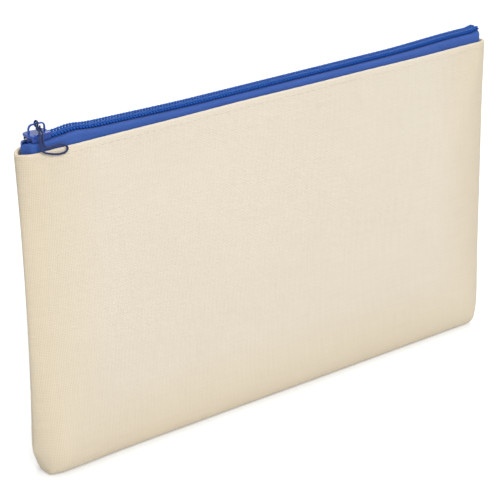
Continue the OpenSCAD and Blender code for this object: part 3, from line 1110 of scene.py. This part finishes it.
@dataclass
class Slider:
    """The slider: two plates, rails between them, a wedge in the nose and a bridge for the pull."""

    chain: Chain
    x: float = -101.0
    length: float = 9.0
    width: float = 6.6
    plate: float = 0.9
    gap: float = 0.25
    nose: float = 0.25
    tail: float = 0.06
    waist: float = 0.45
    edge_r: float = 0.28
    crown: float = 0.12
    rail: float = 0.5
    rail_in: float = 0.04
    rail_ends: tuple = (0.9, 0.5)
    wedge_x: tuple = (-4.15, -3.65, -3.1, -2.55, -2.0)
    wedge_y: tuple = (0.0, 0.62, 1.15, 0.62, 0.0)
    wedge_in: float = 0.3
    bridge_h: float = 3.4
    bridge_l: float = 7.0
    bridge_t: float = 0.6
    bridge_w: float = 0.8
    bridge_r: float = 1.8
    bridge_foot: tuple = (-0.4, 0.5)
    squareness: float = 3.5
    flare: float = 0.35

    @property
    def low(self) -> float:
        """Height of its lowest face."""
        return self.chain.top - self.chain.tape_t - self.gap - self.plate

    @property
    def top(self) -> float:
        """Height of the top plate's upper face."""
        return self.chain.top + self.chain.coil_h + self.gap + self.plate

    def half(self, x: np.ndarray) -> np.ndarray:
        """Half width along the slider: a rounded nose, full shoulders and a waist that narrows."""
        s = x / self.length + 0.5
        nose = np.sqrt(np.maximum(0.0, 1 - np.maximum(0.0, 1 - s / self.nose) ** 2))
        tail = np.sqrt(np.maximum(0.0, 1 - np.maximum(0.0, (s - 1 + self.tail) / self.tail) ** 2))
        waist = self.width / 2 - self.waist * smooth((s - 0.3) / 0.5)
        return waist * (0.45 + 0.55 * nose) * (0.8 + 0.2 * tail)

    def outline(self) -> np.ndarray:
        """The plates' outline from above, (n, 2), closed on itself."""
        x = -self.length / 2 * np.cos(np.linspace(0.0, math.pi, 41))
        half = self.half(x)
        near = np.stack([x, -half], 1)
        tail = np.stack([np.full(6, x[-1]), np.linspace(-half[-1], half[-1], 8)[1:-1]], 1)
        nose = np.stack([np.full(6, x[0]), np.linspace(half[0], -half[0], 8)[1:-1]], 1)
        return np.concatenate([near, tail, (near * [1, -1])[::-1], nose])

    def plate_grid(self, low: float, high: float, crown: float) -> np.ndarray:
        """A plate with rounded edges: the outline drawn in by a quarter circle, then to its middle.

        Args:
            low: lower face.
            high: upper face.
            crown: how far the upper face rises in its middle.

        Returns:
            Rings (n, m, 3) from the lower face's middle to the upper face's.
        """
        edge, r = self.outline(), self.edge_r
        along = unit(np.roll(edge, -1, 0) - np.roll(edge, 1, 0))
        out = np.stack([along[:, 1], -along[:, 0]], 1)
        turn = np.linspace(0.0, math.pi / 2, 5)
        inset = np.concatenate([r - r * np.sin(turn), r - r * np.cos(turn)])
        z = np.concatenate([low + r - r * np.cos(turn), high - r + r * np.sin(turn)])
        rings = edge[None] - out[None] * inset[:, None, None]
        grid = np.concatenate([rings, np.repeat(z[:, None, None], len(edge), 1)], axis=-1)
        share = np.array([0.75, 0.5, 0.25, 0.02])
        top, floor = (grid[end][None] * share[:, None, None] for end in (-1, 0))
        top[..., 2] = high + crown * (1 - share**2)[:, None]
        floor[..., 2] = low
        return np.concatenate([floor[::-1], grid, top])

    def rails(self) -> list[np.ndarray]:
        """The two rails between the plates: a box with its lower edges cut, carried along the outline."""
        before, after = self.rail_ends
        x = np.linspace(-self.length / 2 + before, self.length / 2 - after, 30)
        half = (self.half(x) - self.rail_in)[:, None]
        low, high = self.chain.top + self.gap, self.top - self.plate + 0.1
        corner = np.array([[0, 0.12], [0, 1], [1, 1], [1, 0.12], [0.8, 0], [0.2, 0]])
        z = np.broadcast_to(low + (high - low) * corner[None, :, 1], (len(x), 6))
        return [np.stack([np.repeat(x[:, None], 6, 1), sign * (half - self.rail * corner[None, :, 0]), z],
                         axis=-1) for sign in (-1.0, 1.0)]

    def wedge(self) -> np.ndarray:
        """The divider in the nose: a pointed oval between the plates."""
        x = np.array(self.wedge_x + self.wedge_x[-2:0:-1])
        y = np.array(self.wedge_y + tuple(-w for w in self.wedge_y[-2:0:-1]))
        levels = np.array([self.low + self.wedge_in, self.top - self.wedge_in])
        return np.stack(np.broadcast_arrays(x[None, :], y[None, :], levels[:, None]), axis=-1)

    def bridge(self) -> np.ndarray:
        """The bridge: a superellipse carried up, over and down, which flares by a bell curve at its feet."""
        r = self.bridge_r - self.bridge_t / 2
        reach, rise = self.bridge_l / 2 - self.bridge_t / 2, self.bridge_h - self.bridge_t / 2
        turn = np.linspace(0.0, math.pi / 2, 9)
        left = np.concatenate([[[-reach, z] for z in self.bridge_foot],
                               np.stack([-reach + r - r * np.cos(turn), rise - r + r * np.sin(turn)], 1)])
        level = np.stack([np.linspace(-reach + r, reach - r, 7)[1:-1], np.full(5, rise)], 1)
        line = np.concatenate([left, level, (left * [-1, 1])[::-1]])
        path = np.stack([line[:, 0], np.zeros(len(line)), line[:, 1] + self.top], axis=1)
        angle = np.arange(16) * math.tau / 16
        across = self.bridge_w / 2 * signed_power(np.cos(angle), 2.0 / self.squareness)
        over = self.bridge_t / 2 * signed_power(np.sin(angle), 2.0 / self.squareness)
        side = np.array([0.0, 1.0, 0.0])
        normal = np.cross(unit(np.gradient(path, axis=0)), side)
        flare = (1.0 + self.flare * np.exp(-((path[:, 2] - self.top) / self.flare) ** 2))[:, None, None]
        return path[:, None] + flare * (across[None, :, None] * side + over[None, :, None] * normal[:, None])

    def build(self) -> bpy.types.Object:
        """Makes the slider as one piece of several closed forms.

        Returns:
            The slider.
        """
        grids = [self.plate_grid(self.low, self.low + self.plate, 0.0),
                 self.plate_grid(self.top - self.plate, self.top, self.crown),
                 *self.rails(), self.wedge(), self.bridge()]
        place = np.array([self.x, 0.0, 0.0])
        return Fabrication(*(grid + place for grid in grids)).make("slider_cast_body", ENAMEL, 40.0)


@dataclass
class PullCord:
    """The limp pull cord: an eye round the bridge, a knot and a loop that drops over the front.

    The route repeats the solid's points, in metres from the middle of the bridge's top bar.
    """

    origin: tuple = (-0.1010, 0.0, 0.13375)
    radius: float = 0.375
    eye: float = 0.975
    eye_sway: float = 0.10
    knot: tuple = (0.0, -0.00165, -0.0013)
    knot_size: tuple = (0.27, 0.3, 0.27)
    knot_depth: float = 1.5
    route: tuple = (
        (0.00042, -0.0023, -0.0017), (0.00015, -0.0036, -0.0025), (-0.0006, -0.0049, -0.0040),
        (-0.0009, -0.0058, -0.0056), (-0.0002, -0.0061, -0.0068), (0.0017, -0.0059, -0.00735),
        (0.0041, -0.0058, -0.0072), (0.0063, -0.0059, -0.0073), (0.00775, -0.0062, -0.0080),
        (0.00825, -0.0063, -0.0091), (0.00765, -0.0063, -0.0100), (0.0064, -0.0063, -0.0104),
        (0.0039, -0.0064, -0.0102), (0.0009, -0.0065, -0.0094), (-0.0014, -0.0066, -0.0083),
        (-0.0024, -0.0064, -0.0069), (-0.0023, -0.0059, -0.0052), (-0.0016, -0.0047, -0.0036),
        (-0.00095, -0.0035, -0.0024), (-0.00045, -0.0023, -0.00165),
    )

    def build(self) -> None:
        line = spline((np.array(self.route) + np.array(self.origin)) / METRE, 8)
        piece = Fabrication(tube_grid(line, self.radius, 12, (0.13, 1.0, 0.07))).make("pull_cord_loop", CORD)
        length = float(run_length(line[None], 1)[0, -1]) * METRE
        knot = self.make_knot()
        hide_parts("pull_cord")
        for part in (piece, knot):
            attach(part, "pull")
        LOG.info("pull cord: %.4f m", length)

    def make_knot(self) -> bpy.types.Object:
        """Makes the eye round the bridge and the knot in front of it.

        The knot is a trefoil: (cos t - 2 cos 2t, -sin 3t, sin t + 2 sin 2t), scaled down. The eye is a
        circle round the bridge's bar whose front side runs into the knot.

        Returns:
            Both, as one piece.
        """
        middle = np.array(self.origin) / METRE
        t = np.linspace(0.0, math.tau, 97)
        trefoil = np.stack([np.cos(t) - 2 * np.cos(2 * t), -self.knot_depth * np.sin(3 * t),
                            np.sin(t) + 2 * np.sin(2 * t)], 1) * np.array(self.knot_size)
        t = np.linspace(0.0, math.tau, 49)
        eye = np.stack([self.eye_sway * np.sin(t), self.eye * np.cos(t), self.eye * np.sin(t)], 1)
        parts = Fabrication()
        for path in (middle + np.array(self.knot) / METRE + trefoil, middle + eye):
            parts.add_loops(tube_grid(path, self.radius, 10, (0.21, 0.93, 0.31), closed=True), ends=False)
        return parts.make("pull_cord_knot", CORD)


# ---------------------------------------------------------------- the case, put together


@dataclass
class Case:
    """The whole case: what is made, what it rides on and which solid it stands for."""

    shell: Shell = field(default_factory=Shell)
    stays_shut: float = 98.0

    def label(self, solid: Optional[str]) -> None:
        """Hides the solid that a piece stands for, if any."""
        if solid:
            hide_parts(solid)

    def bend(self, piece: bpy.types.Object, span: Span) -> None:
        """Bakes the place of a piece of the back half into its mesh; the piece is not bent.
        """
        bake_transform(piece)

    def build(self) -> None:
        """Builds every piece in order."""
        chain = Chain(self.shell)
        makers = [
            ("panel", Panel(self.shell), "canvas", "{}_panel"),
            ("mouth_stitching", Stitching(self.shell), "canvas", ""),
            ("zip_tape", Tape(chain), "zip_tape", "zip_tape_{}"),
            ("zip_coil", Coil(chain), "zip_coil", "zip_coil_{}"),
            ("filler_cord", Filler(chain), "filler_cord", "filler_cord_{}"),
            ("coil_threads", CoilThreads(chain), "zip_tape", ""),
        ]
        for name, maker, slot, solid in makers:
            piece = maker.build(f"{name}_front_cloth", Side.FRONT, Span.WHOLE)
            self.label(solid.format("front"))
            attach(piece, "front_half")
            for span in (Span.LEFT, Span.RIGHT):
                piece = maker.build(f"{name}_back_{span.name.lower()}", Side.BACK, span)
                self.label(solid.format("back"))
                self.bend(piece, span)
        for piece in SeamAllowance(self.shell).build():
            self.label(None)
            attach(piece, "front_half")
        slider = Slider(chain).build()
        self.label("slider_body")
        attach(slider, "slider")


# ---------------------------------------------------------------- the studio


@dataclass
class Studio:
    """The photograph's camera, a white floor that keeps the shadow, and soft light."""

    place: tuple = (-0.423017, -0.540891, 0.347094)
    azimuth: float = -37.393
    elevation: float = 22.676
    roll: float = -0.763
    focal_px: float = 1926.5
    frame_px: float = 500.0
    world_light: float = 0.40
    floor_grey: float = 0.80
    floor_grain: float = 0.004
    floor_cool: float = 0.036
    floor_lift: float = 0.34
    floor_r: float = 4.0
    floor_z: float = -0.0003
    aim: tuple = (0.0, 0.0, 0.06)
    lamps: tuple = (
        ("key_lamp", (-0.40, -1.25, 1.15), 0.8, 15.5),
        ("top_lamp", (0.0, 0.05, 1.50), 0.7, 6.0),
        ("rim_lamp", (0.9, 0.9, 1.1), 0.8, 6.0),
    )

    def camera(self) -> None:
        """Makes the camera: it looks along the azimuth and down by the elevation, turned by the roll."""
        az, el, roll = (math.radians(a) for a in (-self.azimuth, self.elevation, self.roll))
        look = np.array([math.sin(az) * math.cos(el), math.cos(az) * math.cos(el), -math.sin(el)])
        right = unit(np.cross(look, (0.0, 0.0, 1.0)))
        up = np.cross(right, look)
        cos, sin = math.cos(roll), math.sin(roll)
        right, up = right * cos + up * sin, up * cos - right * sin
        data = bpy.data.cameras.new("camera")
        data.sensor_width = 36.0
        data.lens = self.focal_px / self.frame_px * data.sensor_width
        data.clip_start, data.clip_end = 0.01, 100.0
        camera = bpy.data.objects.new("camera", data)
        turn = Matrix(np.array([right, up, -look]).T.tolist()).to_4x4()
        camera.matrix_world = Matrix.Translation(self.place) @ turn
        bpy.context.scene.collection.objects.link(camera)
        bpy.context.scene.camera = camera

    def floor(self) -> None:
        """Makes the floor: a large disc of pale grey that the camera sees lifted to white."""
        turn = np.linspace(0.0, math.tau, 65)[:-1]
        level = np.full(len(turn), self.floor_z)
        ring = np.stack([self.floor_r * np.cos(turn), self.floor_r * np.sin(turn), level], 1)
        mesh = bpy.data.meshes.new("studio_floor")
        mesh.from_pydata(ring.tolist(), [], [list(range(len(turn)))])
        g = Graph("studio_floor_paper")
        grain = g.noise(g.node("ShaderNodeTexCoord").outputs["Object"], 40.0, 3, 1.0)
        seen = g.node("ShaderNodeLightPath").outputs
        direct = g.math("MAXIMUM", seen["Is Camera Ray"], seen["Is Glossy Ray"])
        grey, change = self.floor_grey, self.floor_grain
        red = g.spread(grain, 0.3, 0.7, grey - change, grey + change)
        green, blue = g.math("ADD", red, self.floor_cool / 2), g.math("ADD", red, self.floor_cool)
        colour = g.node("ShaderNodeCombineColor", {0: red, 1: green, 2: blue}).outputs[0]
        g.finish(colour, None, 0.0, 1.0, 0.9, Specular_IOR_Level=0.0, Emission_Color=paint((1.0, 1.0, 1.0)))
        g.feed(g.shader.inputs["Emission Strength"], g.math("MULTIPLY", direct, self.floor_lift))
        mesh.materials.append(g.owner)
        piece = bpy.data.objects.new("studio_floor", mesh)
        bpy.context.scene.collection.objects.link(piece)

    def world(self) -> None:
        """Makes the world: white where it is looked at or mirrored, and an even soft light elsewhere."""
        g = Graph("studio_world", world=True)
        seen = g.node("ShaderNodeLightPath").outputs
        direct = g.math("MAXIMUM", seen["Is Camera Ray"], seen["Is Glossy Ray"])
        direct = g.math("MAXIMUM", direct, seen["Is Transmission Ray"])
        g.feed(g.shader.inputs["Strength"], g.spread(direct, 0.0, 1.0, self.world_light, 1.0))
        g.feed(g.shader.inputs["Color"], paint((1.0, 1.0, 1.0)))
        bpy.context.scene.world = g.owner

    def light(self) -> None:
        """Hangs square soft lamps that face the case's middle: in front, overhead and behind."""
        for name, place, size, watts in self.lamps:
            data = bpy.data.lights.new(name, "AREA")
            data.size, data.energy = size, watts
            lamp = bpy.data.objects.new(name, data)
            aim = (Vector(self.aim) - Vector(place)).to_track_quat("-Z", "Y")
            lamp.matrix_world = Matrix.Translation(place) @ aim.to_matrix().to_4x4()
            bpy.context.scene.collection.objects.link(lamp)


def corners(box: Sequence[Sequence[float]]) -> list[list[float]]:
    """A box as plain lists of numbers."""
    return [[float(v) for v in corner] for corner in box]


def main() -> None:
    """Builds the studio and the case in order."""
    logging.basicConfig(level=logging.INFO, format="%(message)s")
    bpy.context.scene.view_settings.view_transform = "Standard"
    studio = Studio()
    studio.camera()
    PullCord().build()
    studio.floor()
    studio.world()
    studio.light()
    Case().build()


if __name__ == "__main__":
    main()
